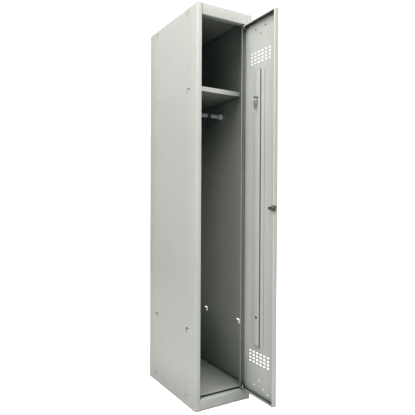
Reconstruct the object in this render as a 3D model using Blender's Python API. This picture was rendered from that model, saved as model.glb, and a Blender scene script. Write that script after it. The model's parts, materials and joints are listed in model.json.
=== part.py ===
"""Single-column steel locker cabinet: folded carcass, hat shelf, hanging rail with sliding hooks, and one
door on pivot pins, hinged on the right, with a cam lock. The door stands open at a right angle.

World axes: +X to the right seen from the front, +Y to the back, +Z up. The origin is on the floor, in the middle
of the back edge. Lengths are in metres.
"""

import math

import bmesh
import bpy
from mathutils import Vector

# Carcass
WIDTH = 0.300
DEPTH = 0.500
HEIGHT = 1.830
SHEET = 0.0008  # sheet steel
BEND_RADIUS = 0.002  # inside radius of every fold
BEND_STEPS = 3
GAP = 0.0003  # between neighbouring pieces
INLAY = 0.0002  # how far a joined-on fold lies inside the surface it meets
POST_WIDTH = 0.025  # front face of a side panel
POST_RETURN = 0.025
REAR_FOLD = 0.020
BASE_FOLD = 0.015
STOP_LIP = 0.008  # strip behind the closing edge of the door
STOP_LIP_BOTTOM = 0.080
STOP_LIP_TOP = HEIGHT - 0.080
HEADER_HEIGHT = 0.050
HEADER_RETURN = 0.030
SILL_HEIGHT = 0.0515
SILL_RETURN = 0.025
RAIL_LIP = 0.008  # stiffening lip of the header and the plinth
TRAY_FLANGE = 0.022  # folded edge of the roof, the floor and the shelf
FLOOR_TOP = 0.057
FLOOR_FRONT = 0.027  # depth behind the front plane
FLOOR_OVERHANG = 0.012  # the sheet in front of the floor's front fold
SHELF_BOTTOM = 1.463
SHELF_FRONT = 0.086

# Hook slots in the side panels, by their depth behind the front plane
SLOT_DEPTHS = {-1: (0.090, 0.417), 1: (0.090, 0.395)}
SLOT_WIDTH = 0.005
SLOT_DROP = 0.022
SLOT_RUN = 0.019
SLOT_TOPS = (HEIGHT - 0.014, SHELF_BOTTOM - GAP, 0.362, FLOOR_TOP - SHEET - GAP)
TAB_WIDTH = 0.003
TAB_DROP = 0.016
PLATE_EDGE = 0.003  # how far a hook plate reaches past its slot

# Hanging rail, across the middle of the locker
RAIL_Y = -0.240
RAIL_Z = 1.390
RAIL_RADIUS = 0.010
RAIL_BORE = 0.0085
SOCKET_RADIUS = 0.015
SOCKET_DEPTH = 0.013
SOCKET_FLOOR = 0.003
PEG_RADIUS = 0.003
PEG_SPREAD = 0.0135  # from the rail's axis up and down to the socket's pegs
COAT_HOOK_X = {"coat_hook_left": -0.095, "coat_hook_middle": -0.025, "coat_hook_right": 0.068}

# Door, measured as it stands open: its outer face looks right and its free edge points to the front
DOOR_WIDTH = 0.244
DOOR_THICKNESS = 0.021
DOOR_BOTTOM = SILL_HEIGHT + 0.003
DOOR_TOP = HEIGHT - HEADER_HEIGHT - 0.0035
DOOR_MIDDLE = (DOOR_TOP + DOOR_BOTTOM) / 2
HINGE_LIP = 0.009
FREE_LIP = 0.007
END_LIP = 0.007  # at the top and at the bottom
PIVOT_X = WIDTH / 2 - POST_WIDTH - 0.011
PIVOT_Y = -DEPTH + 0.009
PIVOT_TO_FACE = 0.0085
PIVOT_TO_EDGE = 0.008
DOOR_FACE_X = PIVOT_X + PIVOT_TO_FACE
DOOR_BACK_X = DOOR_FACE_X - DOOR_THICKNESS
HINGE_EDGE_Y = PIVOT_Y + PIVOT_TO_EDGE
FREE_EDGE_Y = HINGE_EDGE_Y - DOOR_WIDTH
FREE_CORNER_RADIUS = 0.008
PIVOT_HOLE_RADIUS = 0.0045
PIN_RADIUS = 0.003
BUSHING_RADIUS = 0.004

# Vents: two groups of oblong holes, as far above as below the middle of the door
VENT_COLUMNS = 6
VENT_ROWS = 4
VENT_PITCH_Y = 0.026
VENT_PITCH_Z = 0.0155
VENT_LENGTH = 0.016
VENT_HEIGHT = 0.0075
VENT_OFFSET = 0.690

# Hat-section stiffener down the inside of the door
STIFFENER_Y = HINGE_EDGE_Y - 0.1115
STIFFENER_LENGTH = 1.256
STIFFENER_CROWN = 0.037
STIFFENER_RISE = 0.009
STIFFENER_BRIM = 0.024
STIFFENER_HOLES = (1.418, 0.415)
STIFFENER_HOLE_RADIUS = 0.0045

# Label holder outside the door, on three pins
LABEL_Z = 1.722
LABEL_WIDTH = 0.090
LABEL_HEIGHT = 0.046
LABEL_DEPTH = 0.0025
LABEL_PINS = ((-0.035, 0.0125), (0.035, 0.0125), (0.0, -0.014))
LABEL_PIN_RADIUS = 0.0027
SPARE_HOLES = ((-0.034, 0.0985), (0.034, 0.0985), (0.0, 0.1265), (-0.064, 0.083))  # across the door, height

# Cam lock in the middle of the free edge
LOCK_Y = FREE_EDGE_Y + 0.022
LOCK_BODY_RADIUS = 0.009
LOCK_FLANGE_RADIUS = 0.0115
LOCK_BODY_END = 0.0077  # how far inside the door face the barrel reaches
PLUG_RADIUS = 0.006
CAM_START = 0.0083
CAM_THICKNESS = 0.002
CAM_LENGTH = 0.030
CAM_WIDTH = 0.012
CAM_SLOT_BELOW = 0.026  # the arm swings in from below
CAM_SLOT_ABOVE = 0.009
NUT_WIDTH = 0.022  # across its flats
NOTCH_FRONT = 0.004  # from the door's face to the notch in its free edge

# Keys on a peg in the upper hole of the stiffener
KEY_PEG_X = DOOR_FACE_X - SHEET - GAP - STIFFENER_RISE
KEY_PEG_Z = STIFFENER_HOLES[0]
KEY_RING_X = 0.1005
KEY_RING_RADIUS = 0.011
KEY_WIRE_RADIUS = 0.0008
KEY_THICKNESS = 0.002
KEY_SPACING = 0.0035

ROUND = 32  # sides of a turned piece
SMALL_ROUND = 16

PAINT = ("powder_coat", (0.66, 0.67, 0.64), 0.42, 0.0)
STEEL = ("galvanised_steel", (0.58, 0.59, 0.60), 0.35, 1.0)
NICKEL = ("nickel_plate", (0.66, 0.64, 0.60), 0.28, 1.0)
BRASS = ("brass", (0.62, 0.50, 0.28), 0.32, 1.0)
WHITE_PLASTIC = ("white_plastic", (0.80, 0.80, 0.77), 0.45, 0.0)
DARK_PLASTIC = ("dark_plastic", (0.035, 0.040, 0.060), 0.45, 0.0)
RUBBER = ("rubber", (0.03, 0.03, 0.03), 0.80, 0.0)


def clear_scene():
    for item in list(bpy.context.scene.objects):
        bpy.data.objects.remove(item, do_unlink=True)


def material_of(finish):
    """A Principled material for a finish: its name, colour, roughness and metallic value."""
    name, colour, roughness, metallic = finish
    material = bpy.data.materials.get(name)
    if material is None:
        material = bpy.data.materials.new(name)
        material.use_nodes = True
        shader = material.node_tree.nodes["Principled BSDF"]
        shader.inputs["Base Color"].default_value = (*colour, 1.0)
        shader.inputs["Roughness"].default_value = roughness
        shader.inputs["Metallic"].default_value = metallic
        material.diffuse_color = (*colour, 1.0)
    return material


def put_in_scene(name, shape, origin=(0.0, 0.0, 0.0)):
    """Makes an object of a bmesh that is in world coordinates, with its origin at the given point."""
    bmesh.ops.translate(shape, vec=-Vector(origin), verts=shape.verts)
    bmesh.ops.recalc_face_normals(shape, faces=shape.faces)
    mesh = bpy.data.meshes.new(name)
    shape.to_mesh(mesh)
    shape.free()
    piece = bpy.data.objects.new(name, mesh)
    piece.location = origin
    bpy.context.scene.collection.objects.link(piece)
    return piece


def make_piece(name, shape, finish, parent=None, origin=(0.0, 0.0, 0.0)):
    """Makes a visible piece. A parent is an empty on a joint's axis, and the piece keeps its place."""
    piece = put_in_scene(name, shape, origin)
    piece.data.materials.append(material_of(finish))
    piece.data.shade_smooth()
    piece.data.set_sharp_from_angle(angle=math.radians(30))
    if parent is not None:
        piece.parent = parent
        piece.location = Vector(origin) - parent.location
    return piece


def make_joint_empty(name, location, parent=None):
    empty = bpy.data.objects.new(name, None)
    bpy.context.scene.collection.objects.link(empty)
    empty.location = location
    if parent is not None:
        empty.parent = parent
        empty.location = Vector(location) - parent.location
    return empty


def boolean_with(piece, shape, operation):
    """Adds a hidden tool object to a piece and joins it or cuts it out."""
    tool = put_in_scene(f"{piece.name}_{operation.lower()}_{len(piece.modifiers)}", shape)
    tool.hide_render = True
    tool.display_type = "WIRE"
    modifier = piece.modifiers.new(operation.title(), "BOOLEAN")
    modifier.object = tool
    modifier.operation = operation
    modifier.solver = "EXACT"


def join(piece, shape):
    boolean_with(piece, shape, "UNION")


def cut(piece, shape):
    boolean_with(piece, shape, "DIFFERENCE")


def place(u, v, along, distance):
    """A point of a flat outline, as a world point: the outline lies across the axis called along."""
    if along == "X":
        return Vector((distance, u, v))
    if along == "Y":
        return Vector((u, distance, v))
    return Vector((u, v, distance))


def add_prism(shape, outline, along, start, end):
    """A closed flat outline drawn out from start to end. Returns its new vertices."""
    first = [shape.verts.new(place(u, v, along, start)) for u, v in outline]
    last = [shape.verts.new(place(u, v, along, end)) for u, v in outline]
    shape.faces.new(first)
    shape.faces.new(list(reversed(last)))
    for index, (vertex, other) in enumerate(zip(first, last)):
        shape.faces.new((vertex, other, last[index - 1], first[index - 1]))
    return first + last


def add_box(shape, low, high):
    corners = [(low[0], low[1]), (high[0], low[1]), (high[0], high[1]), (low[0], high[1])]
    return add_prism(shape, corners, "Z", low[2], high[2])


def add_turned(shape, profile, centre, along, segments=ROUND):
    """A profile of (distance along the axis, radius) points turned round an axis through the centre.

    A profile that starts and ends on the axis makes a solid. Any other is a closed loop and makes a ring.
    """
    solid = profile[0][1] == 0.0 and profile[-1][1] == 0.0
    rings = []
    for distance, radius in profile:
        count = 1 if radius == 0.0 else segments
        angles = [2 * math.pi * step / count for step in range(count)]
        offsets = [place(radius * math.cos(a), radius * math.sin(a), along, distance) for a in angles]
        rings.append([shape.verts.new(Vector(centre) + offset) for offset in offsets])
    pairs = list(zip(rings, rings[1:]))
    if not solid:
        pairs.append((rings[-1], rings[0]))
    for near, far in pairs:
        for step in range(segments):
            quad = [near[step % len(near)], near[(step + 1) % len(near)]]
            quad += [far[(step + 1) % len(far)], far[step % len(far)]]
            corners = list(dict.fromkeys(quad))
            shape.faces.new(corners)


def add_rod(shape, centre, along, start, end, radius, segments=SMALL_ROUND):
    profile = [(start, 0.0), (start, radius), (end, radius), (end, 0.0)]
    add_turned(shape, profile, centre, along, segments)


def box(low, high):
    shape = bmesh.new()
    add_box(shape, low, high)
    return shape


def rod(centre, along, start, end, radius, segments=SMALL_ROUND):
    shape = bmesh.new()
    add_rod(shape, centre, along, start, end, radius, segments)
    return shape


def prism(outline, along, start, end):
    shape = bmesh.new()
    add_prism(shape, outline, along, start, end)
    return shape


def turned(profile, centre, along, segments=ROUND):
    shape = bmesh.new()
    add_turned(shape, profile, centre, along, segments)
    return shape


def folded_outline(corners, thickness=SHEET, radius=BEND_RADIUS):
    """Outline of a folded sheet. Its right-hand face passes through the corners, and every fold is round."""
    points = [Vector(corner) for corner in corners]
    first_way = (points[1] - points[0]).normalized()
    last_way = (points[-1] - points[-2]).normalized()
    right_side = [points[0]]
    left_side = [points[0] + thickness * left_of(first_way)]
    for before, corner, after in zip(points, points[1:], points[2:]):
        incoming = (corner - before).normalized()
        outgoing = (after - corner).normalized()
        turn = math.atan2(incoming.x * outgoing.y - incoming.y * outgoing.x, incoming.dot(outgoing))
        side = math.copysign(1.0, turn)
        right_radius = radius + thickness if turn > 0 else radius
        left_radius = radius if turn > 0 else radius + thickness
        start = corner - incoming * right_radius * math.tan(abs(turn) / 2)
        centre = start + side * right_radius * left_of(incoming)
        for step in range(BEND_STEPS + 1):
            spoke = turned_vector(-side * left_of(incoming), turn * step / BEND_STEPS)
            right_side.append(centre + right_radius * spoke)
            left_side.append(centre + left_radius * spoke)
    right_side.append(points[-1])
    left_side.append(points[-1] + thickness * left_of(last_way))
    return right_side + left_side[::-1]


def left_of(way):
    return Vector((-way.y, way.x))


def turned_vector(vector, angle):
    return Vector((
        vector.x * math.cos(angle) - vector.y * math.sin(angle),
        vector.x * math.sin(angle) + vector.y * math.cos(angle),
    ))


def arc(centre, radius, start_degrees, end_degrees, steps):
    sweep = end_degrees - start_degrees
    angles = [math.radians(start_degrees + sweep * k / steps) for k in range(steps + 1)]
    return [(centre[0] + radius * math.cos(a), centre[1] + radius * math.sin(a)) for a in angles]


def stadium(centre, length, height, steps=5):
    """An oblong with round ends, long along its first coordinate."""
    radius = height / 2
    reach = length / 2 - radius
    right = arc((centre[0] + reach, centre[1]), radius, -90, 90, steps)
    left = arc((centre[0] - reach, centre[1]), radius, 90, 270, steps)
    return right + left


# ---- Carcass ----


def side_outline(side):
    """Cross-section of a side panel: rear fold, side, post and its return. side is -1 left, 1 right."""
    outer = -WIDTH / 2
    outline = folded_outline([
        (outer + REAR_FOLD, 0.0),
        (outer, 0.0),
        (outer, -DEPTH),
        (outer + POST_WIDTH, -DEPTH),
        (outer + POST_WIDTH, -DEPTH + POST_RETURN),
    ])
    return [(-side * x, y) for x, y in outline]


def hook_slot(side, depth, top):
    """L-shaped slot: a drop for the tab, and a run at its top, forwards on the left, backwards on the right."""
    near = -DEPTH + depth - side * SLOT_WIDTH / 2
    far = near + side * SLOT_WIDTH
    end = far + side * SLOT_RUN
    return [
        (near, top),
        (end, top),
        (end, top - SLOT_WIDTH),
        (far, top - SLOT_WIDTH),
        (far, top - SLOT_DROP),
        (near, top - SLOT_DROP),
    ]


def add_slots(cutter, side):
    face = side * WIDTH / 2
    for top in SLOT_TOPS:
        for depth in SLOT_DEPTHS[side]:
            add_prism(cutter, hook_slot(side, depth, top), "X", face - 0.003, face + 0.003)


def add_peg_holes(cutter, side):
    for height in (RAIL_Z - PEG_SPREAD, RAIL_Z + PEG_SPREAD):
        centre = (side * WIDTH / 2, RAIL_Y, height)
        add_rod(cutter, centre, "X", -0.003, 0.003, PEG_RADIUS + GAP)


def add_roof_seat(cutter, side):
    """The top of the post's return is cut back so that the roof sheet lies behind the front face."""
    inner = side * (WIDTH / 2 - POST_WIDTH)
    low_x, high_x = sorted((inner - side * 0.001, inner + side * 0.004))
    low = (low_x, -DEPTH + SHEET + GAP / 2, HEIGHT - SHEET - GAP)
    add_box(cutter, low, (high_x, -DEPTH + POST_RETURN + 0.001, HEIGHT + 0.001))


def add_arm_slot(cutter):
    """The slot in the return of the left post that the lock's arm enters."""
    post_inner = -WIDTH / 2 + POST_WIDTH
    arm_front = PIVOT_Y - PIVOT_TO_FACE + CAM_START
    low = (post_inner - 0.003, arm_front - 0.002, DOOR_MIDDLE - CAM_SLOT_BELOW)
    high = (post_inner + 0.003, arm_front + CAM_THICKNESS + 0.002, DOOR_MIDDLE + CAM_SLOT_ABOVE)
    add_box(cutter, low, high)


def add_base_fold(shape, side):
    outer = side * (WIDTH / 2 - SHEET / 2)
    inner = side * (WIDTH / 2 - BASE_FOLD)
    low_x, high_x = sorted((outer, inner))
    add_box(shape, (low_x, -DEPTH + POST_RETURN, INLAY), (high_x, -0.020, INLAY + SHEET))


def add_closing_strip(shape):
    """The strip on the left post that the door closes against."""
    post_inner = -WIDTH / 2 + POST_WIDTH
    back = -DEPTH + POST_RETURN - INLAY
    low = (post_inner - SHEET / 2, back - SHEET, STOP_LIP_BOTTOM)
    add_box(shape, low, (post_inner + STOP_LIP, back, STOP_LIP_TOP))


def make_side_panel(name, side):
    panel = make_piece(name, prism(side_outline(side), "Z", 0.0, HEIGHT), PAINT)
    folds = bmesh.new()
    add_base_fold(folds, side)
    cutter = bmesh.new()
    add_slots(cutter, side)
    add_peg_holes(cutter, side)
    add_roof_seat(cutter, side)
    if side < 0:
        add_closing_strip(folds)
        add_arm_slot(cutter)
    join(panel, folds)
    cut(panel, cutter)


def make_back_panel():
    outer = -SHEET - GAP
    outline = folded_outline([(outer - BASE_FOLD, 0.0), (outer, 0.0), (outer, HEIGHT)])
    half = WIDTH / 2 - SHEET - BEND_RADIUS
    return make_piece("back_panel", prism(outline, "X", -half, half), PAINT)


def across_outline(base, drop, half):
    """Cross-section of a sheet at height base with both side edges folded by drop, up or down."""
    corners = [(-half, base + drop), (-half, base), (half, base), (half, base + drop)]
    if drop < 0:
        corners.reverse()
    return folded_outline(corners)


def end_fold(face_z, drop, front):
    """The folded front or back edge of a tray, between its side edges."""
    inset = WIDTH / 2 - SHEET - GAP - SHEET / 2
    corner = BEND_RADIUS + SHEET
    base = face_z + math.copysign(INLAY, drop)
    tip = face_z + drop - math.copysign(INLAY, drop)
    shoulder = base + math.copysign(corner, drop)
    right = [(inset - corner, base), (inset, shoulder), (inset, tip)]
    left = [(-x, z) for x, z in reversed(right)]
    return prism(right + left, "Y", front, front + SHEET)


def make_tray(name, face_z, drop, front, back, overhang=INLAY):
    """A sheet with all four edges folded: drop is negative where they fold down from the face."""
    half = WIDTH / 2 - SHEET - GAP
    tray = make_piece(name, prism(across_outline(face_z, drop, half), "Y", front, back), PAINT)
    join(tray, end_fold(face_z, drop, front + overhang))
    join(tray, end_fold(face_z, drop, back - SHEET - INLAY))
    return tray


def add_hook_tabs(tray, top):
    """Tabs in the hook slots, flush with the outside of the side panels and joined to the tray."""
    for side in (-1, 1):
        root = side * (WIDTH / 2 - GAP - 1.5 * SHEET)
        tip = side * (WIDTH / 2 - GAP / 2)
        low_x, high_x = sorted((root, tip))
        for depth in SLOT_DEPTHS[side]:
            y = -DEPTH + depth
            low = (low_x, y - TAB_WIDTH / 2, top - TAB_DROP)
            join(tray, box(low, (high_x, y + TAB_WIDTH / 2, top)))


def add_hook_plates(tray, start, top, front):
    """Plates that hang from start and cover the slots from inside, as far as the tray's front edge."""
    for side in (-1, 1):
        outer = side * (WIDTH / 2 - SHEET - GAP - INLAY)
        low_x, high_x = sorted((outer, outer - side * SHEET))
        for depth in SLOT_DEPTHS[side]:
            slot_y = [y for y, _ in hook_slot(side, depth, top)]
            low = (low_x, max(min(slot_y) - PLATE_EDGE, front + INLAY), top - SLOT_DROP - PLATE_EDGE)
            join(tray, box(low, (high_x, max(slot_y) + PLATE_EDGE, start)))


def make_roof():
    """The roof reaches forward over the posts, behind the front faces, and has a fold behind the header."""
    front = -DEPTH + POST_RETURN + 2 * GAP
    roof = make_tray("roof_panel", HEIGHT, -TRAY_FLANGE, front, -2 * (SHEET + GAP))
    half = WIDTH / 2 - SHEET - GAP
    front_edge = -DEPTH + SHEET + GAP
    corner = 0.003
    right = [(half - corner, front_edge), (half, front_edge + corner), (half, front + SHEET / 2)]
    left = [(-x, y) for x, y in reversed(right)]
    join(roof, prism(right + left, "Z", HEIGHT - SHEET, HEIGHT))
    between_posts = WIDTH / 2 - POST_WIDTH - 0.004
    low = (-between_posts, front_edge + INLAY, HEIGHT - TRAY_FLANGE)
    join(roof, box(low, (between_posts, front_edge + INLAY + SHEET, HEIGHT - SHEET / 2)))
    add_hook_plates(roof, HEIGHT - TRAY_FLANGE / 2, SLOT_TOPS[0], front)
    add_hook_tabs(roof, SLOT_TOPS[0] - GAP)


def make_floor():
    back = -2 * (SHEET + GAP)
    floor = make_tray("floor_panel", FLOOR_TOP, -TRAY_FLANGE, -DEPTH + FLOOR_FRONT, back, FLOOR_OVERHANG)
    add_hook_tabs(floor, SLOT_TOPS[3] - GAP)


def make_shelf():
    """The hat shelf is a tray with its edges folded up. Its hooks hang below the sheet."""
    front = -DEPTH + SHELF_FRONT
    shelf = make_tray("hat_shelf", SHELF_BOTTOM, TRAY_FLANGE, front, -2 * (SHEET + GAP))
    add_hook_plates(shelf, SHELF_BOTTOM + TRAY_FLANGE / 2, SLOT_TOPS[1], front)
    add_hook_tabs(shelf, SLOT_TOPS[1] - GAP)


def make_front_rail(name, corners, hole_z):
    """A folded rail between the posts, with a pivot hole at each end: the door can hang on either side."""
    half = WIDTH / 2 - POST_WIDTH - GAP
    rail = make_piece(name, prism(folded_outline(corners), "X", -half, half), PAINT)
    holes = bmesh.new()
    for x in (-PIVOT_X, PIVOT_X):
        add_rod(holes, (x, PIVOT_Y, hole_z), "Z", -0.003, 0.003, PIVOT_HOLE_RADIUS)
    cut(rail, holes)
    return rail


def make_header():
    soffit = HEIGHT - HEADER_HEIGHT
    corners = [
        (-DEPTH, HEIGHT),
        (-DEPTH, soffit),
        (-DEPTH + HEADER_RETURN, soffit),
        (-DEPTH + HEADER_RETURN, soffit + RAIL_LIP),
    ]
    return make_front_rail("header_rail", corners, soffit)


def make_plinth():
    corners = [
        (-DEPTH + SILL_RETURN, SILL_HEIGHT - RAIL_LIP),
        (-DEPTH + SILL_RETURN, SILL_HEIGHT),
        (-DEPTH, SILL_HEIGHT),
        (-DEPTH, 0.0),
        (-DEPTH + BASE_FOLD, 0.0),
    ]
    return make_front_rail("plinth_rail", corners, SILL_HEIGHT)


def make_buffers():
    """Rubber buffers on the front of the stop strip."""
    x = -WIDTH / 2 + POST_WIDTH + STOP_LIP / 2
    back = -DEPTH + POST_RETURN - SHEET - GAP
    front = PIVOT_Y - PIVOT_TO_FACE + DOOR_THICKNESS + GAP
    for name, height in (("upper_door_buffer", 1.700), ("lower_door_buffer", 0.130)):
        profile = [(front, 0.0), (front, 0.0028), (front + 0.0006, 0.0036), (back, 0.0036), (back, 0.0)]
        make_piece(name, turned(profile, (x, 0.0, height), "Y", SMALL_ROUND), RUBBER)


# ---- Hanging rail ----


def make_rail_socket(name, side):
    """A cup for the end of the rail, with two pegs pressed through the side panel."""
    wall = side * (WIDTH / 2 - SHEET - GAP)
    mouth = wall - side * SOCKET_DEPTH
    floor = wall - side * SOCKET_FLOOR
    bore = RAIL_RADIUS + GAP
    profile = [
        (wall, 0.0),
        (wall, SOCKET_RADIUS),
        (mouth + side * 0.001, SOCKET_RADIUS),
        (mouth, SOCKET_RADIUS - 0.001),
        (mouth, bore),
        (floor, bore),
        (floor, 0.0),
    ]
    socket = make_piece(name, turned(profile, (0.0, RAIL_Y, RAIL_Z), "X"), WHITE_PLASTIC)
    tip = side * (WIDTH / 2 - GAP / 2)
    start, end = sorted((wall - side * 0.001, tip))
    for height in (RAIL_Z - PEG_SPREAD, RAIL_Z + PEG_SPREAD):
        join(socket, rod((0.0, RAIL_Y, height), "X", start, end, PEG_RADIUS))


def make_hanging_rail():
    end = WIDTH / 2 - SHEET - SOCKET_FLOOR - 2 * GAP
    profile = [(-end, RAIL_RADIUS), (end, RAIL_RADIUS), (end, RAIL_BORE), (-end, RAIL_BORE)]
    make_piece("hanging_rail", turned(profile, (0.0, RAIL_Y, RAIL_Z), "X"), STEEL)


def make_coat_hook(name, x):
    """A sliding double hook: a ring on the rail, a stem and two upturned arms with round tips."""
    ring_radius = 0.0135
    bore = 0.0108
    half = 0.009
    arm_half = 0.0035
    arm_outer = 0.0215
    arm_inner = 0.0155
    arm_z = RAIL_Z - 0.041
    tip_radius = 0.0045
    empty = make_joint_empty(f"{name}_slide", (x, RAIL_Y, RAIL_Z))
    profile = [(-half, bore), (-half, ring_radius), (half, ring_radius), (half, bore)]
    ring = turned(profile, (x, RAIL_Y, RAIL_Z), "X")
    hook = make_piece(name, ring, DARK_PLASTIC, empty, (x, RAIL_Y, RAIL_Z))
    stem_top = RAIL_Z - (bore + ring_radius) / 2
    stem_bottom = arm_z - (arm_outer + arm_inner) / 2
    stem_low = (x - arm_half, RAIL_Y - arm_half, stem_bottom)
    join(hook, box(stem_low, (x + arm_half, RAIL_Y + arm_half, stem_top)))
    outer = arc((RAIL_Y, arm_z), arm_outer, 180, 360, 14)
    inner = arc((RAIL_Y, arm_z), arm_inner, 360, 180, 14)
    join(hook, prism(outer + inner, "X", x - arm_half - 0.0002, x + arm_half + 0.0002))
    arm_middle = (arm_outer + arm_inner) / 2
    for y in (RAIL_Y - arm_middle, RAIL_Y + arm_middle):
        ball = arc((0.0, 0.0), tip_radius, 180, 0, 8)
        ball_profile = [(u, 0.0 if abs(v) < 1e-9 else v) for u, v in ball]
        join(hook, turned(ball_profile, (x, y, arm_z), "Z", SMALL_ROUND))


# ---- Door ----


def door_outline():
    """Cross-section of the open door: hinge lip, hinge edge, face, free edge and free lip."""
    return folded_outline([
        (DOOR_BACK_X, FREE_EDGE_Y + FREE_LIP),
        (DOOR_BACK_X, FREE_EDGE_Y),
        (DOOR_FACE_X, FREE_EDGE_Y),
        (DOOR_FACE_X, HINGE_EDGE_Y),
        (DOOR_BACK_X, HINGE_EDGE_Y),
        (DOOR_BACK_X, HINGE_EDGE_Y - HINGE_LIP),
    ])


def add_end_flange(shape, top):
    """The folded edge that closes the top or the bottom of the door, between the two upright edges."""
    inset = SHEET / 2
    corner = BEND_RADIUS
    relief = BEND_RADIUS + SHEET
    outline = [
        (DOOR_BACK_X + relief, FREE_EDGE_Y + inset),
        (DOOR_FACE_X - inset - corner, FREE_EDGE_Y + inset),
        (DOOR_FACE_X - inset, FREE_EDGE_Y + inset + corner),
        (DOOR_FACE_X - inset, HINGE_EDGE_Y - inset - corner),
        (DOOR_FACE_X - inset - corner, HINGE_EDGE_Y - inset),
        (DOOR_BACK_X + relief, HINGE_EDGE_Y - inset),
    ]
    start = DOOR_TOP - SHEET - INLAY if top else DOOR_BOTTOM + INLAY
    add_prism(shape, outline, "Z", start, start + SHEET)


def add_end_lip(shape, top):
    """The lip along the top or the bottom flange, which stops short of the lips of the upright edges."""
    end = DOOR_TOP if top else DOOR_BOTTOM
    into_door = -1 if top else 1
    corners = [
        (DOOR_BACK_X + 0.006, end),
        (DOOR_BACK_X, end),
        (DOOR_BACK_X, end + into_door * END_LIP),
    ]
    if not top:
        corners.reverse()
    low_y = FREE_EDGE_Y + FREE_LIP + 2 * GAP
    high_y = HINGE_EDGE_Y - HINGE_LIP - 2 * GAP
    add_prism(shape, folded_outline(corners), "Y", low_y, high_y)


def add_corner_cutter(cutter, top):
    """Rounds the inner corner of the free edge at the top or the bottom."""
    r = FREE_CORNER_RADIUS
    sign = 1 if top else -1
    end = DOOR_TOP if top else DOOR_BOTTOM
    angles = [math.radians(90 * step / 5) for step in range(6)]
    rounding = [(DOOR_BACK_X + r - r * math.cos(a), end - sign * r * (1 - math.sin(a))) for a in angles]
    outside = [
        (DOOR_BACK_X + r, end + sign * 0.002),
        (DOOR_BACK_X - 0.002, end + sign * 0.002),
        (DOOR_BACK_X - 0.002, end - sign * r),
    ]
    add_prism(cutter, rounding + outside, "Y", FREE_EDGE_Y - 0.002, FREE_EDGE_Y + FREE_LIP + 0.002)


def add_vents(cutter):
    middle_y = (HINGE_EDGE_Y + FREE_EDGE_Y) / 2
    for group in (-1, 1):
        for row in range(VENT_ROWS):
            for column in range(VENT_COLUMNS):
                y = middle_y + (column - (VENT_COLUMNS - 1) / 2) * VENT_PITCH_Y
                z = DOOR_MIDDLE + group * VENT_OFFSET + (row - (VENT_ROWS - 1) / 2) * VENT_PITCH_Z
                outline = stadium((y, z), VENT_LENGTH, VENT_HEIGHT)
                add_prism(cutter, outline, "X", DOOR_FACE_X - 0.003, DOOR_FACE_X + 0.003)


def add_small_holes(cutter):
    """Holes for the label holder's pins, the lock and the hinge bushings, and unused ones near the bottom."""
    middle_y = (HINGE_EDGE_Y + FREE_EDGE_Y) / 2
    places = [(y, LABEL_Z + z) for y, z in LABEL_PINS] + list(SPARE_HOLES)
    for y, z in places:
        centre = (DOOR_FACE_X, middle_y + y, z)
        add_rod(cutter, centre, "X", -0.003, 0.003, LABEL_PIN_RADIUS + GAP)
    lock = (DOOR_FACE_X, LOCK_Y, DOOR_MIDDLE)
    add_rod(cutter, lock, "X", -0.003, 0.003, LOCK_BODY_RADIUS + GAP, ROUND)
    for z in (DOOR_BOTTOM, DOOR_TOP):
        add_rod(cutter, (PIVOT_X, PIVOT_Y, z), "Z", -0.003, 0.003, BUSHING_RADIUS + GAP)


def add_arm_notch(cutter):
    """The notch in the free edge that the lock's arm swings through."""
    low = (DOOR_BACK_X - 0.002, FREE_EDGE_Y - 0.002, DOOR_MIDDLE - CAM_SLOT_BELOW)
    high = (DOOR_FACE_X - NOTCH_FRONT, FREE_EDGE_Y + FREE_LIP + 0.002, DOOR_MIDDLE + 1.5 * CAM_SLOT_ABOVE)
    add_box(cutter, low, high)


def make_door(hinge):
    shape = prism(door_outline(), "Z", DOOR_BOTTOM, DOOR_TOP)
    door = make_piece("door_panel", shape, PAINT, hinge, hinge.location)
    flanges = bmesh.new()
    edge_cutter = bmesh.new()
    lips = bmesh.new()
    for top in (False, True):
        add_end_flange(flanges, top)
        add_end_lip(lips, top)
        add_corner_cutter(edge_cutter, top)
    add_arm_notch(edge_cutter)
    join(door, flanges)
    join(door, lips)
    cut(door, edge_cutter)
    for add_holes in (add_vents, add_small_holes):
        holes = bmesh.new()
        add_holes(holes)
        cut(door, holes)


def make_stiffener(hinge):
    brim = DOOR_FACE_X - SHEET - GAP
    crown = brim - STIFFENER_RISE
    half = STIFFENER_CROWN / 2
    edge = half + STIFFENER_BRIM
    outline = folded_outline([
        (brim, STIFFENER_Y - edge),
        (brim, STIFFENER_Y - half),
        (crown + SHEET, STIFFENER_Y - half),
        (crown + SHEET, STIFFENER_Y + half),
        (brim, STIFFENER_Y + half),
        (brim, STIFFENER_Y + edge),
    ])
    low_z = DOOR_MIDDLE - STIFFENER_LENGTH / 2
    shape = prism(outline, "Z", low_z, low_z + STIFFENER_LENGTH)
    stiffener = make_piece("door_stiffener", shape, PAINT, hinge, hinge.location)
    holes = bmesh.new()
    for z in STIFFENER_HOLES:
        add_rod(holes, (crown, STIFFENER_Y, z), "X", -0.002, 0.002, STIFFENER_HOLE_RADIUS)
    cut(stiffener, holes)


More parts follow.
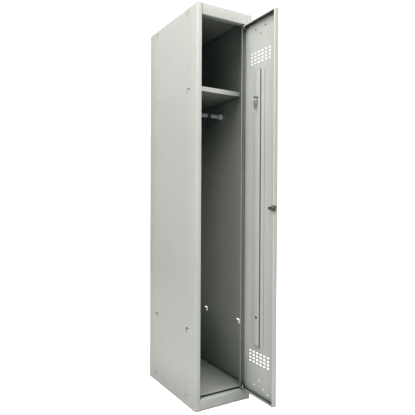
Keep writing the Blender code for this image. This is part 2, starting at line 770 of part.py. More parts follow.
def make_hinge(hinge):
    """A shouldered pin in the plinth and in the header, and a nylon bushing on each in the door's flange."""
    for name, door_end, rail_face, sign in (
        ("lower", DOOR_BOTTOM, SILL_HEIGHT, 1),
        ("upper", DOOR_TOP, HEIGHT - HEADER_HEIGHT, -1),
    ):
        axis_point = (PIVOT_X, PIVOT_Y, 0.0)
        behind = rail_face - sign * (SHEET + GAP)
        pin = [
            (behind - sign * 0.0025, 0.0),
            (behind - sign * 0.0025, 0.0055),
            (behind - sign * 0.0018, 0.006),
            (behind, 0.006),
            (behind, PIVOT_HOLE_RADIUS - GAP),
            (rail_face, PIVOT_HOLE_RADIUS - GAP),
            (rail_face, PIN_RADIUS),
            (door_end + sign * 0.013, PIN_RADIUS),
            (door_end + sign * 0.0145, PIN_RADIUS - 0.0012),
            (door_end + sign * 0.0145, 0.0),
        ]
        make_piece(f"{name}_hinge_pin", turned(pin, axis_point, "Z"), STEEL)
        flange_start = rail_face + sign * GAP
        flange_end = door_end - sign * GAP
        barrel_end = door_end + sign * 0.006
        bushing = [
            (flange_start, PIN_RADIUS + GAP),
            (flange_start, 0.0065),
            (flange_end, 0.0065),
            (flange_end, BUSHING_RADIUS),
            (barrel_end, BUSHING_RADIUS),
            (barrel_end, PIN_RADIUS + GAP),
        ]
        shape = turned(bushing, axis_point, "Z")
        make_piece(f"{name}_hinge_bushing", shape, WHITE_PLASTIC, hinge, hinge.location)


def make_label_holder(hinge):
    """A frame for a card, closed at the back, with three pins through the door."""
    middle_y = (HINGE_EDGE_Y + FREE_EDGE_Y) / 2
    back = DOOR_FACE_X + GAP
    front = back + LABEL_DEPTH
    half_y = LABEL_WIDTH / 2
    half_z = LABEL_HEIGHT / 2
    shape = box((back, middle_y - half_y, LABEL_Z - half_z), (front, middle_y + half_y, LABEL_Z + half_z))
    holder = make_piece("label_holder", shape, DARK_PLASTIC, hinge, hinge.location)
    rim = 0.005
    low = (front - 0.0015, middle_y - half_y + rim, LABEL_Z - half_z + rim)
    cut(holder, box(low, (front + 0.001, middle_y + half_y - rim, LABEL_Z + half_z - rim)))
    for y, z in LABEL_PINS:
        centre = (0.0, middle_y + y, LABEL_Z + z)
        join(holder, rod(centre, "X", back - GAP - SHEET - 0.002, back + 0.0005, LABEL_PIN_RADIUS))


# ---- Lock ----


def make_lock(hinge):
    face = DOOR_FACE_X
    centre = (0.0, LOCK_Y, DOOR_MIDDLE)
    bore = PLUG_RADIUS + GAP
    end = face - LOCK_BODY_END
    barrel = [
        (end, bore),
        (end, LOCK_BODY_RADIUS),
        (face + GAP, LOCK_BODY_RADIUS),
        (face + GAP, LOCK_FLANGE_RADIUS),
        (face + 0.0022, LOCK_FLANGE_RADIUS),
        (face + 0.0030, LOCK_FLANGE_RADIUS - 0.0015),
        (face + 0.0030, bore),
    ]
    make_piece("lock_barrel", turned(barrel, centre, "X"), NICKEL, hinge, hinge.location)
    nut_corner = NUT_WIDTH / 2 / math.cos(math.radians(30))
    nut_back = face - SHEET - GAP
    hexagon = arc((LOCK_Y, DOOR_MIDDLE), nut_corner, 90, 390, 5)
    shape = prism(hexagon, "X", nut_back - 0.0042, nut_back)
    nut = make_piece("lock_nut", shape, BRASS, hinge, hinge.location)
    cut(nut, rod(centre, "X", nut_back - 0.006, nut_back + 0.002, LOCK_BODY_RADIUS + GAP, ROUND))

    turn = make_joint_empty("lock_cam_turn", (face, LOCK_Y, DOOR_MIDDLE), hinge)
    world = (face, LOCK_Y, DOOR_MIDDLE)
    tail = face - CAM_START - CAM_THICKNESS + GAP
    plug_back = face - CAM_START + GAP
    plug = [
        (tail, 0.0),
        (tail, 0.0035),
        (plug_back, 0.0035),
        (plug_back, PLUG_RADIUS),
        (face + 0.0034, PLUG_RADIUS),
        (face + 0.0040, PLUG_RADIUS - 0.0006),
        (face + 0.0040, 0.0),
    ]
    core = make_turning_piece("lock_plug", turned(plug, centre, "X"), NICKEL, turn, world)
    key_way = box((face + 0.0010, LOCK_Y - 0.0006, DOOR_MIDDLE - 0.0040),
                  (face + 0.0060, LOCK_Y + 0.0006, DOOR_MIDDLE + 0.0040))
    cut(core, key_way)

    half = CAM_WIDTH / 2
    root = arc((LOCK_Y, DOOR_MIDDLE), half + 0.001, 120, 240, 8)
    tip_centre = LOCK_Y + CAM_LENGTH - half
    tip = arc((tip_centre, DOOR_MIDDLE), half, -90, 90, 8)
    cam_shape = prism(root + tip, "X", face - CAM_START - CAM_THICKNESS, face - CAM_START)
    cam = make_turning_piece("lock_cam", cam_shape, STEEL, turn, world)
    cut(cam, rod(centre, "X", face - CAM_START - 0.004, face - CAM_START + 0.002, 0.0035 + GAP))

    head = face - CAM_START - CAM_THICKNESS - GAP
    screw = [
        (head, 0.0),
        (head, 0.0050),
        (head - 0.0012, 0.0050),
        (head - 0.0026, 0.0036),
        (head - 0.0030, 0.0),
    ]
    fastener = make_turning_piece("lock_cam_screw", turned(screw, centre, "X", 24), STEEL, turn, world)
    cross = bmesh.new()
    add_box(cross, (head - 0.005, LOCK_Y - 0.0005, DOOR_MIDDLE - 0.0025),
            (head - 0.0018, LOCK_Y + 0.0005, DOOR_MIDDLE + 0.0025))
    cut(fastener, cross)


def make_turning_piece(name, shape, finish, parent, world):
    """A piece on an empty that itself has a parent, with its origin on the empty."""
    piece = make_piece(name, shape, finish, None, world)
    piece.parent = parent
    piece.location = (0.0, 0.0, 0.0)
    return piece


# ---- Keys ----


def make_key_peg(hinge):
    """A plastic peg in the upper hole of the stiffener, with a knob so that the ring stays on."""
    crown = KEY_PEG_X
    profile = [
        (crown + SHEET + 0.003, 0.0),
        (crown + SHEET + 0.003, 0.0036),
        (crown - GAP, STIFFENER_HOLE_RADIUS - GAP),
        (crown - GAP, 0.0054),
        (crown - 0.0018, 0.0054),
        (crown - 0.0030, 0.0022),
        (KEY_RING_X - 0.0025, 0.0022),
        (KEY_RING_X - 0.0040, 0.0036),
        (KEY_RING_X - 0.0062, 0.0036),
        (KEY_RING_X - 0.0075, 0.0028),
        (KEY_RING_X - 0.0075, 0.0),
    ]
    shape = turned(profile, (0.0, STIFFENER_Y, KEY_PEG_Z), "X", 24)
    make_piece("key_peg", shape, DARK_PLASTIC, hinge, hinge.location)


def make_stiffener_plug(hinge):
    """A cap in the lower hole of the stiffener."""
    crown = KEY_PEG_X
    profile = [
        (crown + SHEET + 0.003, 0.0),
        (crown + SHEET + 0.003, 0.0036),
        (crown - GAP, STIFFENER_HOLE_RADIUS - GAP),
        (crown - GAP, 0.0060),
        (crown - 0.0010, 0.0060),
        (crown - 0.0018, 0.0045),
        (crown - 0.0020, 0.0),
    ]
    shape = turned(profile, (0.0, STIFFENER_Y, STIFFENER_HOLES[1]), "X", 24)
    make_piece("stiffener_plug", shape, DARK_PLASTIC, hinge, hinge.location)


def make_key_ring(hinge):
    centre_z = KEY_PEG_Z + 0.0022 + GAP - (KEY_RING_RADIUS - KEY_WIRE_RADIUS)
    pivot = (KEY_RING_X, STIFFENER_Y, KEY_PEG_Z)
    swing = make_joint_empty("key_ring_swing", pivot, hinge)
    section = arc((0.0, KEY_RING_RADIUS), KEY_WIRE_RADIUS, 0, 360 - 45, 7)
    shape = turned(section, (KEY_RING_X, STIFFENER_Y, centre_z), "X", 28)
    make_turning_piece("key_ring", shape, NICKEL, swing, pivot)
    return swing, centre_z - KEY_RING_RADIUS


def make_key(name, swing, hang_z, y):
    """A flat locker key: a round bow with a hole for the ring, a shoulder and a notched blade."""
    pivot = (KEY_RING_X, y, hang_z)
    turn = make_joint_empty(f"{name}_swing", (0.0, 0.0, 0.0))
    turn.parent = swing
    turn.location = Vector(pivot) - Vector((KEY_RING_X, STIFFENER_Y, KEY_PEG_Z))
    bow_radius = 0.0085
    bow_z = hang_z - bow_radius + 0.0035
    half_blade = 0.0030
    start = math.degrees(math.asin(half_blade / bow_radius))
    bow = arc((KEY_RING_X, bow_z), bow_radius, -90 + start, 270 - start, 20)
    tip_z = bow_z - 0.031
    left = KEY_RING_X - half_blade
    notches = []
    for step in range(4):
        base_z = tip_z + 0.004 + step * 0.004
        notches += [(left, base_z), (left + 0.0014, base_z + 0.001), (left, base_z + 0.002)]
    blade = [(left + 0.002, tip_z), (KEY_RING_X + half_blade - 0.001, tip_z)]
    blade += [(KEY_RING_X + half_blade, tip_z + 0.002)]
    outline = bow + notches[::-1] + blade
    shape = prism(outline, "Y", y - KEY_THICKNESS / 2, y + KEY_THICKNESS / 2)
    key = make_turning_piece(name, shape, NICKEL, turn, pivot)
    hole = rod((KEY_RING_X, y, hang_z - 0.0007), "Y", -KEY_THICKNESS, KEY_THICKNESS, 0.0024)
    cut(key, hole)


def build():
    clear_scene()
    make_side_panel("left_side_panel", -1)
    make_side_panel("right_side_panel", 1)
    make_back_panel()
    make_roof()
    make_floor()
    make_shelf()
    make_header()
    make_plinth()
    make_buffers()
    make_rail_socket("left_rail_socket", -1)
    make_rail_socket("right_rail_socket", 1)
    make_hanging_rail()
    for name, x in COAT_HOOK_X.items():
        make_coat_hook(name, x)
    hinge = make_joint_empty("door_hinge", (PIVOT_X, PIVOT_Y, 0.0))
    make_door(hinge)
    make_stiffener(hinge)
    make_hinge(hinge)
    make_label_holder(hinge)
    make_lock(hinge)
    make_key_peg(hinge)
    make_stiffener_plug(hinge)
    swing, hang_z = make_key_ring(hinge)
    make_key("key_one", swing, hang_z, STIFFENER_Y - KEY_SPACING / 2)
    make_key("key_two", swing, hang_z, STIFFENER_Y + KEY_SPACING / 2)


build()
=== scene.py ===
"""Looks of the locker cabinet: materials, small fittings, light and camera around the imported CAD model."""

import json
import math

import bmesh
import bpy
from mathutils import Matrix, Vector


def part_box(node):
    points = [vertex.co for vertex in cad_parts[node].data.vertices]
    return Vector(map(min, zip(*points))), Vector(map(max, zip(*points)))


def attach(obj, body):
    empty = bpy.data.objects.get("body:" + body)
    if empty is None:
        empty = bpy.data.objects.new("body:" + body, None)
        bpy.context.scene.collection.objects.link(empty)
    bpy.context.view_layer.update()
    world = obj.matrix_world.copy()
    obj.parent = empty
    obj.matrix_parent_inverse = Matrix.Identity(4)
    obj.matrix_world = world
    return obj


# Powder coat
PAINT_COLOUR = (0.600, 0.608, 0.574)
MOTTLE_COLOUR = (0.582, 0.6014, 0.5432)
# Painted shade for the closed-in inside of the cabinet
PAINTED_BOX_SHADE = (0.104, 0.146, 0.122)
# Painted shade for folds and for the stiffener's front wall
PAINTED_DARK_SHADE = (0.052, 0.062, 0.056)
GRIME = (0.42, 0.42, 0.37)
BARE_EDGE = (0.74, 0.76, 0.73)
# Reach in metres, and how open a face still is where the shade starts and where it is full
BOX_SHADE = (0.35, 0.60, 0.20)
FOLD_SHADE = (0.035, 0.62, 0.42)
SHADE_SHARE = 0.92
# Heights in metres: the shade fades out at the foot, and grime fades out upwards
FOOT_BAND = (-0.015, 0.055)
GRIME_TOP = 0.16

# Plated metal, paper and studio colours
ZINC_DULL = (0.72, 0.74, 0.75)
ZINC_BRIGHT = (0.86, 0.87, 0.87)
ZINC_LINES = (0.50, 0.50, 0.48)
NICKEL = (0.62, 0.62, 0.60)
NICKEL_SPOTS = (0.44, 0.44, 0.42)
BRASS = (0.42, 0.40, 0.29)
BRASS_SPOTS = (0.27, 0.26, 0.20)
CARD_DULL = (0.60, 0.59, 0.54)
CARD_BRIGHT = (0.68, 0.67, 0.62)
CARD_FIBRES = (0.60, 0.58, 0.50)
# Painted shade at the card's rims
CARD_RIM_SHADE = (0.42, 0.40, 0.34)
FLOOR_DULL = (0.86, 0.86, 0.86)
FLOOR_BRIGHT = (0.88, 0.88, 0.88)
WHITE = (1.0, 1.0, 1.0)

# Smooth shading: metres and degrees
MERGE_DISTANCE = 0.000004
SHARP_ANGLE = 32.0

# Label card, in metres
HOLDER_RECESS = 0.0015
CARD_SIZE = (0.0776, 0.0336)
CARD_THICKNESS = 0.0004
CARD_GAP = 0.0001
CARD_ARCH = 0.0005
CARD_CORNER = 0.0010
CARD_COLUMNS = 40
CARD_END_SHARE = 0.97

# Floor, fill light and backdrop
FLOOR_LEVEL = -0.0005
FLOOR_RADIUS = 9.0
FLOOR_MIDDLE_Y = -0.3
FLOOR_GLOW = 0.85
FLOOR_BOUNCE = 0.72
FILL_COLOUR = (0.96, 1.0, 0.96)
FILL_STRENGTH = 0.31
BACKDROP_STRENGTH = 1.2
DISPLAY_GAMMA = 0.8

# Camera, in metres, radians and millimetres
SENSOR_WIDTH = 36.0
CAMERA_PLACE = (-1.1371, -2.2064, 0.9360)
CAMERA_YAW = 0.5335
CAMERA_PITCH = -0.0103
CAMERA_ROLL = 0.0046
CAMERA_LENS = 38.49
CAMERA_SHIFT = (0.0169, 0.0008)

# Softboxes, in metres. Their powers were fitted to the look of the object and then changed.
LIGHT_TARGET = (0.0, -0.45, 1.0)
SOFTBOX_DISTANCE = 3.2
SOFTBOX_SIDE = 1.5
# Name, azimuth and elevation in degrees, power in watts
STUDIO_LIGHTS = (
    ("left_softbox", 80.0, 35.0, 31.0),
    ("upper_left_softbox", 80.0, 62.0, 60.0),
    ("upper_front_softbox", 0.0, 64.0, 86.0),
    ("low_front_softbox", 26.0, 4.0, 13.0),
    ("back_softbox", -145.0, 38.0, 34.0),
)

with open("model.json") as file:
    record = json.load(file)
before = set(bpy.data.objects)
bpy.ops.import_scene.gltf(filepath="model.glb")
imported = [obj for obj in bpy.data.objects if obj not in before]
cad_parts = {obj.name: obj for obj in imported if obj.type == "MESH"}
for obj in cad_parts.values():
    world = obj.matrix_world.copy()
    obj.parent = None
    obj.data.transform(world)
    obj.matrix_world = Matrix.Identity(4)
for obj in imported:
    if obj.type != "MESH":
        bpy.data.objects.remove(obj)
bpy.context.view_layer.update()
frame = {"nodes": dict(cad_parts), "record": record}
NODES = frame["nodes"]


# ---- Node materials ----


class Graph:
    """Builds a material's node tree with short calls. A value is a number, a colour or a node's output."""

    def __init__(self, name):
        self.material = bpy.data.materials.new(name)
        self.material.use_nodes = True
        self.tree = self.material.node_tree
        self.tree.nodes.clear()
        self.output = self.tree.nodes.new("ShaderNodeOutputMaterial")

    def node(self, kind, settings=None, **values):
        made = self.tree.nodes.new(kind)
        for name, value in (settings or {}).items():
            setattr(made, name, value)
        for name, value in values.items():
            self.put(made, name.replace("_", " "), value)
        return made

    def put(self, node, socket, value):
        if isinstance(value, bpy.types.NodeSocket):
            self.tree.links.new(value, node.inputs[socket])
        else:
            node.inputs[socket].default_value = value

    def coordinates(self, stretch=(1.0, 1.0, 1.0)):
        source = self.node("ShaderNodeTexCoord")
        mapping = self.node("ShaderNodeMapping")
        mapping.inputs["Scale"].default_value = stretch
        self.tree.links.new(source.outputs["Object"], mapping.inputs["Vector"])
        return mapping.outputs["Vector"]

    def noise(self, scale, detail=3.0, rough=0.5, stretch=(1.0, 1.0, 1.0)):
        made = self.node("ShaderNodeTexNoise", Vector=self.coordinates(stretch), Scale=scale, Detail=detail)
        made.inputs["Roughness"].default_value = rough
        return made.outputs["Fac"]

    def spread(self, value, low, high, to_low=0.0, to_high=1.0):
        made = self.node("ShaderNodeMapRange", Value=value)
        for socket, number in zip(("From Min", "From Max", "To Min", "To Max"), (low, high, to_low, to_high)):
            made.inputs[socket].default_value = number
        return made.outputs["Result"]

    def math(self, operation, first, second=0.0):
        made = self.node("ShaderNodeMath", {"operation": operation})
        self.put(made, 0, first)
        self.put(made, 1, second)
        return made.outputs[0]

    def product(self, first, second):
        return self.math("MULTIPLY", first, second)

    def mix(self, factor, first, second):
        made = self.node("ShaderNodeMix", {"data_type": "RGBA"})
        self.put(made, 0, factor)
        self.put(made, 6, first)
        self.put(made, 7, second)
        return made.outputs[2]

    def bump(self, height, strength, distance, normal=None):
        made = self.node("ShaderNodeBump", Height=height, Strength=strength, Distance=distance)
        if normal is not None:
            self.put(made, "Normal", normal)
        return made.outputs["Normal"]

    def finish(self, colour, roughness, normal, **constants):
        shader = self.node("ShaderNodeBsdfPrincipled")
        self.put(shader, "Base Color", colour)
        self.put(shader, "Roughness", roughness)
        self.put(shader, "Normal", normal)
        for name, value in constants.items():
            shader.inputs[name.replace("_", " ")].default_value = value
        self.tree.links.new(shader.outputs["BSDF"], self.output.inputs["Surface"])
        return self.material


def rgba(colour, factor=1.0):
    return (*[channel * factor for channel in colour], 1.0)


def height_in_object(graph):
    """Height above the foot of the cabinet at rest, in metres."""
    split = graph.node("ShaderNodeSeparateXYZ", Vector=graph.coordinates())
    return split.outputs["Z"]


def edge_mask(graph, radius):
    """1 near a sharp edge and 0 on a flat: how far a rounded normal turns from the face's own."""
    bevel = graph.node("ShaderNodeBevel", {"samples": 4}, Radius=radius)
    plain = graph.node("ShaderNodeNewGeometry")
    turn = graph.node("ShaderNodeVectorMath", {"operation": "DOT_PRODUCT"})
    graph.tree.links.new(bevel.outputs["Normal"], turn.inputs[0])
    graph.tree.links.new(plain.outputs["Normal"], turn.inputs[1])
    return graph.spread(turn.outputs["Value"], 0.995, 0.86), bevel.outputs["Normal"]


def closed_in(graph, reach, open_share, deep_share):
    """0 on a face with free air within reach, and 1 deep in a fold or a box. It stands in for shade."""
    made = graph.node("ShaderNodeAmbientOcclusion", {"samples": 8}, Distance=reach)
    return graph.spread(made.outputs["AO"], open_share, deep_share)


def front_facing(graph):
    """1 on faces that look forward at rest. It follows the piece's own normal, so it turns with the door."""
    source = graph.node("ShaderNodeTexCoord")
    split = graph.node("ShaderNodeSeparateXYZ", Vector=source.outputs["Normal"])
    return graph.spread(split.outputs["Y"], -0.45, -0.85)


def powder_coat(name, fold_shade_share=SHADE_SHARE, painted_front_shade=0.0, front_unshaded=False):
    """Light grey powder coat, darker where it is closed in.

    The darker colours are painted shade, for shade that the lights don't give.
    painted_front_shade darkens faces that look forward, and front_unshaded leaves such faces out of the box
    shade.
    """
    graph = Graph(name)
    height = height_in_object(graph)
    above_foot = graph.spread(height, *FOOT_BAND)

    clouds = graph.spread(graph.noise(2.2, 4.0), 0.35, 0.68)
    colour = graph.mix(clouds, rgba(PAINT_COLOUR, 0.965), rgba(PAINT_COLOUR, 1.025))
    mottle = graph.spread(graph.noise(38.0, 3.0, 0.6), 0.45, 0.75, 0.0, 0.35)
    colour = graph.mix(mottle, colour, rgba(MOTTLE_COLOUR))
    streaks = graph.spread(graph.noise(9.0, 3.0, 0.55, (1.0, 1.0, 0.10)), 0.4, 0.7)
    grime = graph.product(graph.spread(height, GRIME_TOP, 0.0), streaks)
    colour = graph.mix(graph.product(grime, 0.22), colour, rgba(GRIME))

    # Painted shade deep inside the cabinet, where the wide ambient occlusion finds it closed in
    box_shade_mask = graph.product(closed_in(graph, *BOX_SHADE), above_foot)
    # Faces that look forward can be left out of the painted box shade
    if front_unshaded:
        box_shade_mask = graph.product(box_shade_mask, graph.spread(front_facing(graph), 0.0, 1.0, 1.0, 0.0))
    colour = graph.mix(graph.product(box_shade_mask, SHADE_SHARE), colour, rgba(PAINTED_BOX_SHADE))
    # Painted shade in folds, where the short ambient occlusion finds them closed in
    folds = graph.product(closed_in(graph, *FOLD_SHADE), above_foot)
    colour = graph.mix(graph.product(folds, fold_shade_share), colour, rgba(PAINTED_DARK_SHADE))
    # Painted shade on faces that look forward, such as the stiffener's front wall
    if painted_front_shade:
        colour = graph.mix(graph.product(front_facing(graph), painted_front_shade), colour, rgba(PAINTED_DARK_SHADE))

    edges, rounded = edge_mask(graph, 0.0006)
    chips = graph.spread(graph.noise(240.0, 4.0, 0.7), 0.52, 0.66)
    worn = graph.product(edges, chips)
    colour = graph.mix(graph.product(worn, 0.30), colour, rgba(BARE_EDGE))

    rough = graph.spread(graph.noise(14.0, 5.0, 0.6), 0.3, 0.75, 0.33, 0.47)
    rough = graph.math("ADD", rough, graph.product(grime, 0.18))
    waves = graph.bump(graph.noise(7.0, 2.0, 0.4, (1.0, 1.0, 0.4)), 0.30, 0.0012, rounded)
    peel = graph.bump(graph.noise(720.0, 2.0, 0.5), 0.10, 0.0002, waves)
    return graph.finish(colour, rough, peel, IOR=1.5)


def zinc_plate():
    """Zinc plate with fine drawn lines along X and dull spots."""
    graph = Graph("zinc_plated_steel")
    drawn = graph.noise(60.0, 4.0, 0.6, (0.08, 1.0, 1.0))
    clouds = graph.noise(18.0, 3.0)
    colour = graph.mix(graph.spread(clouds, 0.35, 0.7), rgba(ZINC_DULL), rgba(ZINC_BRIGHT))
    colour = graph.mix(graph.spread(drawn, 0.5, 0.72, 0.0, 0.3), colour, rgba(ZINC_LINES))
    rough = graph.spread(drawn, 0.3, 0.75, 0.24, 0.42)
    normal = graph.bump(drawn, 0.12, 0.0003, edge_mask(graph, 0.0004)[1])
    return graph.finish(colour, rough, normal, Metallic=0.4)


def nickel_plate():
    """Worn nickel plate with darker spots."""
    graph = Graph("nickel_plate")
    spots = graph.noise(120.0, 4.0, 0.65)
    colour = graph.mix(graph.spread(spots, 0.45, 0.7), rgba(NICKEL), rgba(NICKEL_SPOTS))
    rough = graph.spread(graph.noise(300.0, 3.0), 0.3, 0.7, 0.36, 0.52)
    normal = graph.bump(graph.noise(420.0, 2.0), 0.08, 0.0002, edge_mask(graph, 0.0003)[1])
    return graph.finish(colour, rough, normal, Metallic=1.0)


def brass_plate():
    """Tarnished olive brass plate."""
    graph = Graph("dull_brass")
    spots = graph.noise(160.0, 4.0, 0.65)
    colour = graph.mix(graph.spread(spots, 0.4, 0.7), rgba(BRASS), rgba(BRASS_SPOTS))
    rough = graph.spread(graph.noise(260.0, 3.0), 0.3, 0.7, 0.44, 0.60)
    normal = graph.bump(graph.noise(380.0, 2.0), 0.10, 0.0002, edge_mask(graph, 0.0004)[1])
    return graph.finish(colour, rough, normal, Metallic=1.0)


def moulded(name, colour, light, rough_low, rough_high):
    """Moulded plastic: faint flow clouds, a fine spark-eroded grain and slightly pale rubbed edges."""
    graph = Graph(name)
    clouds = graph.noise(45.0, 3.0)
    shade = graph.mix(graph.spread(clouds, 0.35, 0.7), rgba(colour, 0.93), rgba(colour, 1.05))
    worn, rounded = edge_mask(graph, 0.0005)
    shade = graph.mix(graph.product(worn, 0.25), shade, rgba(light))
    rough = graph.spread(graph.noise(200.0, 3.0), 0.3, 0.7, rough_low, rough_high)
    normal = graph.bump(graph.noise(1500.0, 1.0), 0.10, 0.0001, rounded)
    return graph.finish(shade, rough, normal)


def paper():
    """Blank off-white card with faint fibres, a soft cloudy tone and painted shade at its rims, where the
    holder closes in.
    """
    graph = Graph("blank_card")
    clouds = graph.noise(60.0, 3.0)
    fibres = graph.noise(900.0, 4.0, 0.7, (1.0, 0.15, 1.0))
    shade = graph.mix(graph.spread(clouds, 0.35, 0.7), rgba(CARD_DULL), rgba(CARD_BRIGHT))
    shade = graph.mix(graph.spread(fibres, 0.5, 0.75, 0.0, 0.25), shade, rgba(CARD_FIBRES))
    # Painted shade at the card's rims, where the holder's recess closes in
    rim_shade_mask = closed_in(graph, 0.002, 0.9, 0.4)
    shade = graph.mix(graph.product(rim_shade_mask, 0.4), shade, rgba(CARD_RIM_SHADE))
    rough = graph.spread(fibres, 0.3, 0.75, 0.70, 0.88)
    return graph.finish(shade, rough, graph.bump(fibres, 0.15, 0.0001))


MATERIALS = {
    "powder_coat": powder_coat("powder_coat_grey"),
    "galvanised_steel": zinc_plate(),
    "nickel_plate": nickel_plate(),
    "brass": brass_plate(),
    "white_plastic": moulded("white_nylon", (0.88, 0.88, 0.86), (0.92, 0.92, 0.90), 0.34, 0.50),
    "dark_plastic": moulded("dark_plastic", (0.085, 0.095, 0.130), (0.16, 0.17, 0.20), 0.30, 0.46),
    "rubber": moulded("black_rubber", (0.028, 0.028, 0.028), (0.07, 0.07, 0.07), 0.62, 0.82),
}

# Nodes whose finish differs from the rest of their slot
OWN_FINISH = {
    # The stiffener's front wall gets painted shade
    "door_stiffener": powder_coat("powder_coat_shaded_front", painted_front_shade=0.68),
    # The hat shelf has no painted fold shade, and its front is left out of the painted box shade
    "hat_shelf": powder_coat("powder_coat_unshaded_front", fold_shade_share=0.0, front_unshaded=True),
    "lock_cam": MATERIALS["brass"],
    "lock_cam_screw": MATERIALS["brass"],
    "lock_nut": MATERIALS["brass"],
}


def smooth_group():
    """A modifier that shades a CAD node smoothly across its folds and round sides. It moves nothing."""
    group = bpy.data.node_groups.new("smooth_by_angle", "GeometryNodeTree")
    group.interface.new_socket("Geometry", in_out="INPUT", socket_type="NodeSocketGeometry")
    group.interface.new_socket("Geometry", in_out="OUTPUT", socket_type="NodeSocketGeometry")
    steps = [group.nodes.new(kind) for kind in (
        "NodeGroupInput",
        "GeometryNodeMergeByDistance",
        "GeometryNodeRemoveAttribute",
        "GeometryNodeSetShadeSmooth",
        "GeometryNodeSetShadeSmooth",
        "NodeGroupOutput",
    )]
    for before, after in zip(steps, steps[1:]):
        group.links.new(before.outputs[0], after.inputs[0])
    steps[1].inputs["Distance"].default_value = MERGE_DISTANCE
    steps[2].inputs["Name"].default_value = "custom_normal"
    steps[3].domain = "FACE"
    steps[3].inputs["Shade Smooth"].default_value = True
    steps[4].domain = "EDGE"
    steps[4].inputs["Shade Smooth"].default_value = False
    angle = group.nodes.new("GeometryNodeInputMeshEdgeAngle")
    sharp = group.nodes.new("FunctionNodeCompare")
    sharp.operation = "GREATER_THAN"
    sharp.inputs["B"].default_value = math.radians(SHARP_ANGLE)
    group.links.new(angle.outputs["Unsigned Angle"], sharp.inputs["A"])
    group.links.new(sharp.outputs[0], steps[4].inputs["Selection"])
    return group


def dress_cad_nodes():
    """Gives every CAD node its finish and the smooth shading modifier."""
    group = smooth_group()
    for entry in frame["record"]["subparts"]:
        node = NODES[entry["node"]]
        finish = OWN_FINISH.get(entry["node"], MATERIALS[entry["material_slot"]])
        for index in range(len(node.material_slots)):
            node.material_slots[index].material = finish
        modifier = node.modifiers.new("Smooth shading", "NODES")
        modifier.node_group = group


# ---- Label card ----


def make_label_card():
    """A blank card that lies in the label holder's recess with a slight arch along its length."""
    low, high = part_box("label_holder")
    middle_y = (low[1] + high[1]) / 2
    middle_z = (low[2] + high[2]) / 2
    back_x = high[0] - HOLDER_RECESS + CARD_GAP
    shape = bmesh.new()
    rows = []
    for column in range(CARD_COLUMNS + 1):
        share = column / CARD_COLUMNS * 2.0 - 1.0
        arch = CARD_ARCH * (1.0 - share * share)
        corner = CARD_CORNER * max(0.0, abs(share) - CARD_END_SHARE) / (1.0 - CARD_END_SHARE)
        half = CARD_SIZE[1] / 2 - corner
        y = middle_y + share * CARD_SIZE[0] / 2
        rows.append([
            shape.verts.new((back_x + arch + lift, y, middle_z + side * half))
            for lift, side in ((0.0, -1.0), (0.0, 1.0), (CARD_THICKNESS, 1.0), (CARD_THICKNESS, -1.0))
        ])
    for first, second in zip(rows, rows[1:]):
        for i in range(4):
            j = (i + 1) % 4
            shape.faces.new((first[i], first[j], second[j], second[i]))
    shape.faces.new(rows[0])
    shape.faces.new(rows[-1])
    bmesh.ops.recalc_face_normals(shape, faces=shape.faces)
    mesh = bpy.data.meshes.new("label_card")
    shape.to_mesh(mesh)
    shape.free()
    mesh.materials.append(paper())
    card = bpy.data.objects.new("label_card", mesh)
    bpy.context.scene.collection.objects.link(card)
    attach(card, "door")


# ---- Floor, light and camera ----


def make_floor():
    """A round pale floor. It glows for camera rays only, so it shows white and lights the object less."""
    shape = bmesh.new()
    bmesh.ops.create_circle(shape, cap_ends=True, segments=96, radius=FLOOR_RADIUS)
    mesh = bpy.data.meshes.new("studio_floor")
    shape.to_mesh(mesh)
    shape.free()
    floor = bpy.data.objects.new("studio_floor", mesh)
    bpy.context.scene.collection.objects.link(floor)
    floor.location = (0.0, FLOOR_MIDDLE_Y, FLOOR_LEVEL)
    graph = Graph("studio_floor")
    clouds = graph.noise(1.5, 2.0)
    colour = graph.mix(clouds, rgba(FLOOR_DULL), rgba(FLOOR_BRIGHT))
    normal = graph.bump(graph.noise(300.0, 2.0), 0.02, 0.0005)
    rough = graph.spread(clouds, 0.3, 0.7, 0.75, 0.85)
    graph.finish(colour, rough, normal, Emission_Color=rgba(WHITE), Emission_Strength=FLOOR_GLOW)
    dull = graph.node("ShaderNodeBsdfDiffuse", Color=rgba(WHITE, FLOOR_BOUNCE))
    choose = graph.node("ShaderNodeMixShader")
    path = graph.node("ShaderNodeLightPath")
    bright = graph.output.inputs["Surface"].links[0].from_socket
    for value, socket in ((path.outputs["Is Camera Ray"], 0), (dull.outputs["BSDF"], 1), (bright, 2)):
        graph.tree.links.new(value, choose.inputs[socket])
    graph.tree.links.new(choose.outputs["Shader"], graph.output.inputs["Surface"])
    mesh.materials.append(graph.material)


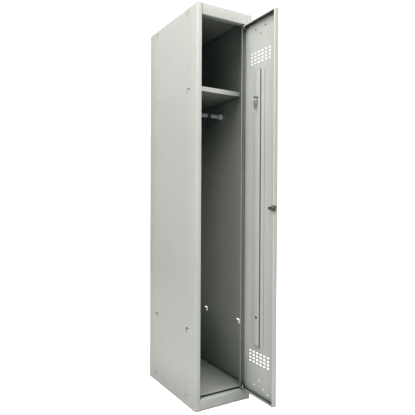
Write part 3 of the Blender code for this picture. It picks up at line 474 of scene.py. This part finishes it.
def make_world():
    """White behind the object for camera rays only, and a dimmer sky as the fill light."""
    world = bpy.data.worlds.new("studio")
    world.use_nodes = True
    tree = world.node_tree
    tree.nodes.clear()
    path = tree.nodes.new("ShaderNodeLightPath")
    fill = tree.nodes.new("ShaderNodeBackground")
    fill.inputs["Color"].default_value = rgba(FILL_COLOUR)
    fill.inputs["Strength"].default_value = FILL_STRENGTH
    seen = tree.nodes.new("ShaderNodeBackground")
    seen.inputs["Color"].default_value = rgba(WHITE)
    seen.inputs["Strength"].default_value = BACKDROP_STRENGTH
    choose = tree.nodes.new("ShaderNodeMixShader")
    output = tree.nodes.new("ShaderNodeOutputWorld")
    tree.links.new(path.outputs["Is Camera Ray"], choose.inputs["Fac"])
    tree.links.new(fill.outputs["Background"], choose.inputs[1])
    tree.links.new(seen.outputs["Background"], choose.inputs[2])
    tree.links.new(choose.outputs["Shader"], output.inputs["Surface"])
    bpy.context.scene.world = world


def make_light(name, azimuth, elevation, power):
    """A square softbox turned to the middle of the open cabinet. Azimuth 0 is the front and 90 the left."""
    lamp = bpy.data.lights.new(name, "AREA")
    lamp.shape = "SQUARE"
    lamp.size = SOFTBOX_SIDE
    lamp.energy = power
    light = bpy.data.objects.new(name, lamp)
    bpy.context.scene.collection.objects.link(light)
    turn = math.radians(azimuth)
    rise = math.radians(elevation)
    level = math.cos(rise)
    outward = Vector((-math.sin(turn) * level, -math.cos(turn) * level, math.sin(rise)))
    light.location = Vector(LIGHT_TARGET) + SOFTBOX_DISTANCE * outward
    light.rotation_euler = (-outward).to_track_quat("-Z", "Y").to_euler()


def make_camera():
    """A slightly long lens at the cabinet's mid height, in front and to the left, turned to the right."""
    across = math.cos(CAMERA_PITCH)
    ahead = Vector((math.sin(CAMERA_YAW) * across, math.cos(CAMERA_YAW) * across, math.sin(CAMERA_PITCH)))
    level = Vector((math.cos(CAMERA_YAW), -math.sin(CAMERA_YAW), 0.0))
    above = level.cross(ahead)
    right = level * math.cos(CAMERA_ROLL) + above * math.sin(CAMERA_ROLL)
    up = right.cross(ahead)
    turn = Matrix((right, up, -ahead)).transposed()
    data = bpy.data.cameras.new("camera")
    data.sensor_width = SENSOR_WIDTH
    data.lens = CAMERA_LENS
    data.shift_x, data.shift_y = CAMERA_SHIFT
    camera = bpy.data.objects.new("camera", data)
    bpy.context.scene.collection.objects.link(camera)
    camera.matrix_world = Matrix.Translation(CAMERA_PLACE) @ turn.to_4x4()
    bpy.context.scene.camera = camera


dress_cad_nodes()
make_label_card()
make_floor()
make_world()
for name, azimuth, elevation, power in STUDIO_LIGHTS:
    make_light(name, azimuth, elevation, power)
make_camera()
bpy.context.scene.view_settings.view_transform = "Standard"
bpy.context.scene.view_settings.gamma = DISPLAY_GAMMA
